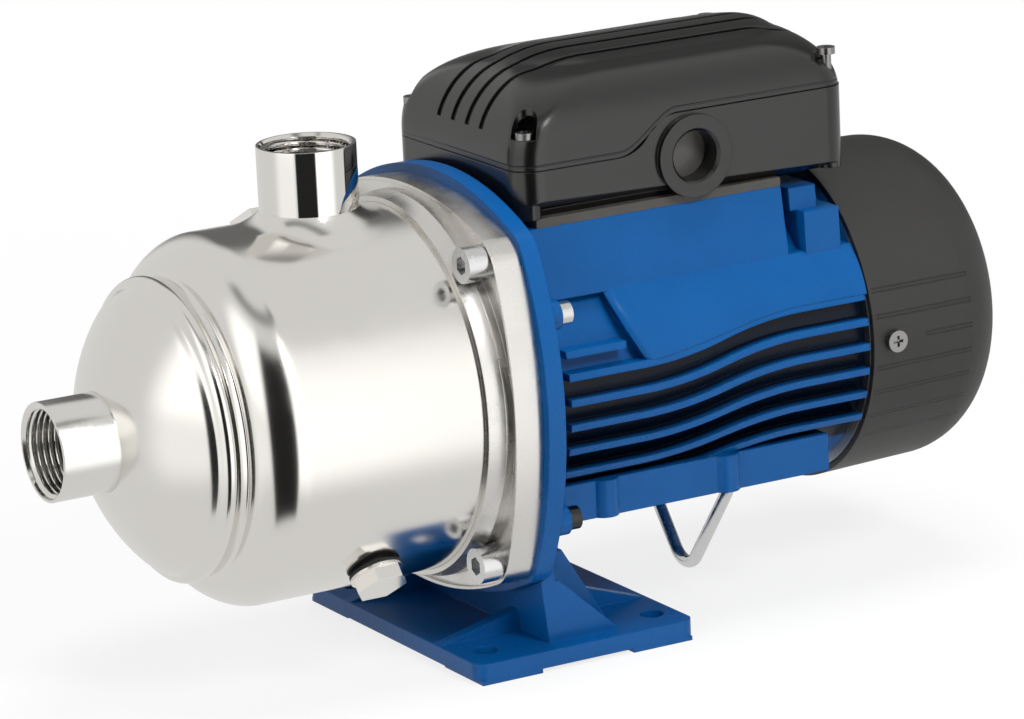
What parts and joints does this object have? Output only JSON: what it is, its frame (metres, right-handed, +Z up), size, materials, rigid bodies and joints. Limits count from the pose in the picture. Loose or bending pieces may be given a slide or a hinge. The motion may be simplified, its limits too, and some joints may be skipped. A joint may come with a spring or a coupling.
{
  "type": "horizontal multistage pump",
  "caption": "Horizontal multistage pump: polished cylindrical casing with threaded ports, blue finned motor on a cast foot, black terminal box and fan cover.",
  "frame": {"origin": "centre of the foot's bolt pattern, on the ground", "axes": "X along the shaft from the suction port to the fan, +Z up along the discharge port"},
  "size_m": [0.3723, 0.156, 0.2125],
  "materials": {
    "polished_steel": "polished",
    "satin_steel": "satin",
    "zinc_steel": "bright zinc",
    "plated_screw": "dark zinc",
    "plug_steel": "polished",
    "blue_paint": "gloss",
    "bare_casting": "as cast",
    "core_steel": "laminated",
    "copper_wire": "varnished",
    "bearing_steel": "ground",
    "black_rubber": "matte",
    "grey_gasket": "matte",
    "seal_ceramic": "lapped",
    "seal_carbon": "lapped",
    "box_plastic": "satin",
    "cover_plastic": "fine grain",
    "fan_plastic": "matte",
    "terminal_plastic": "matte",
    "capacitor_plastic": "satin"
  },
  "bodies": {
    "pump": {"box_fixing_screws": "plated_screw", "box_seat_gasket": "grey_gasket", "cable_entry_blank": "box_plastic", "capacitor": "capacitor_plastic", "capacitor_clamp": "zinc_steel", "casing_flange": "satin_steel", "casing_o_ring": "black_rubber", "discharge_port": "polished_steel", "drain_plug_seal": "black_rubber", "fan_cover": "cover_plastic", "fan_cover_screws": "plated_screw", "fill_plug_seal": "black_rubber", "flange_screws": "zinc_steel", "foot": "blue_paint", "foot_screws": "zinc_steel", "front_bearing_outer": "bearing_steel", "housing_screws": "zinc_steel", "inlet_plate": "polished_steel", "lock_washers": "zinc_steel", "motor_adapter": "blue_paint", "motor_housing": "blue_paint", "pump_casing": "polished_steel", "rear_bearing_outer": "bearing_steel", "rear_end_shield": "bare_casting", "seal_plate": "polished_steel", "seal_seat": "seal_ceramic", "shield_screws": "zinc_steel", "stage_1": "polished_steel", "stage_2": "polished_steel", "stage_3": "polished_steel", "stage_4": "polished_steel", "stator_core": "core_steel", "stator_windings": "copper_wire", "suction_port": "polished_steel", "terminal_block": "terminal_plastic", "terminal_box_base": "box_plastic", "wave_washer": "zinc_steel", "wire_stand": "zinc_steel"},
    "shaft": {"pump_shaft": "polished_steel", "rotor_core": "core_steel", "impeller_1": "polished_steel", "impeller_2": "polished_steel", "impeller_3": "polished_steel", "impeller_4": "polished_steel", "impeller_spacers": "polished_steel", "shaft_nut": "polished_steel", "seal_head": "seal_carbon", "seal_spring": "polished_steel", "fan": "fan_plastic", "front_bearing_inner": "bearing_steel", "rear_bearing_inner": "bearing_steel", "slinger": "black_rubber"},
    "lid": {"terminal_box_lid": "box_plastic", "lid_screws": "plated_screw"},
    "bearing_balls": {"front_bearing_balls": "bearing_steel", "rear_bearing_balls": "bearing_steel"},
    "drain_plug": {"drain_plug": "plug_steel"},
    "fill_plug": {"fill_plug": "plug_steel"}
  },
  "joints": [
    {"name": "shaft_spin", "type": "hinge", "parent": "pump", "child": "shaft", "pos_m": [0, 0, 0.0963], "axis": [1, 0, 0], "continuous": true},
    {"name": "balls_roll", "type": "hinge", "parent": "pump", "child": "bearing_balls", "pos_m": [0, 0, 0.0963], "axis": [1, 0, 0], "continuous": true},
    {"name": "drain_plug_out", "type": "slide", "parent": "pump", "child": "drain_plug", "axis": [0, -0.6428, -0.766], "range_m": [0, 0.03]},
    {"name": "fill_plug_out", "type": "slide", "parent": "pump", "child": "fill_plug", "axis": [0, 0.6428, 0.766], "range_m": [0, 0.03]},
    {"name": "lid_lift", "type": "slide", "parent": "pump", "child": "lid", "axis": [0, 0, 1], "range_m": [0, 0.08]}
  ],
  "couplings": [
    {"joint": "balls_roll", "follows": "shaft_spin", "ratio": 0.38}
  ]
}
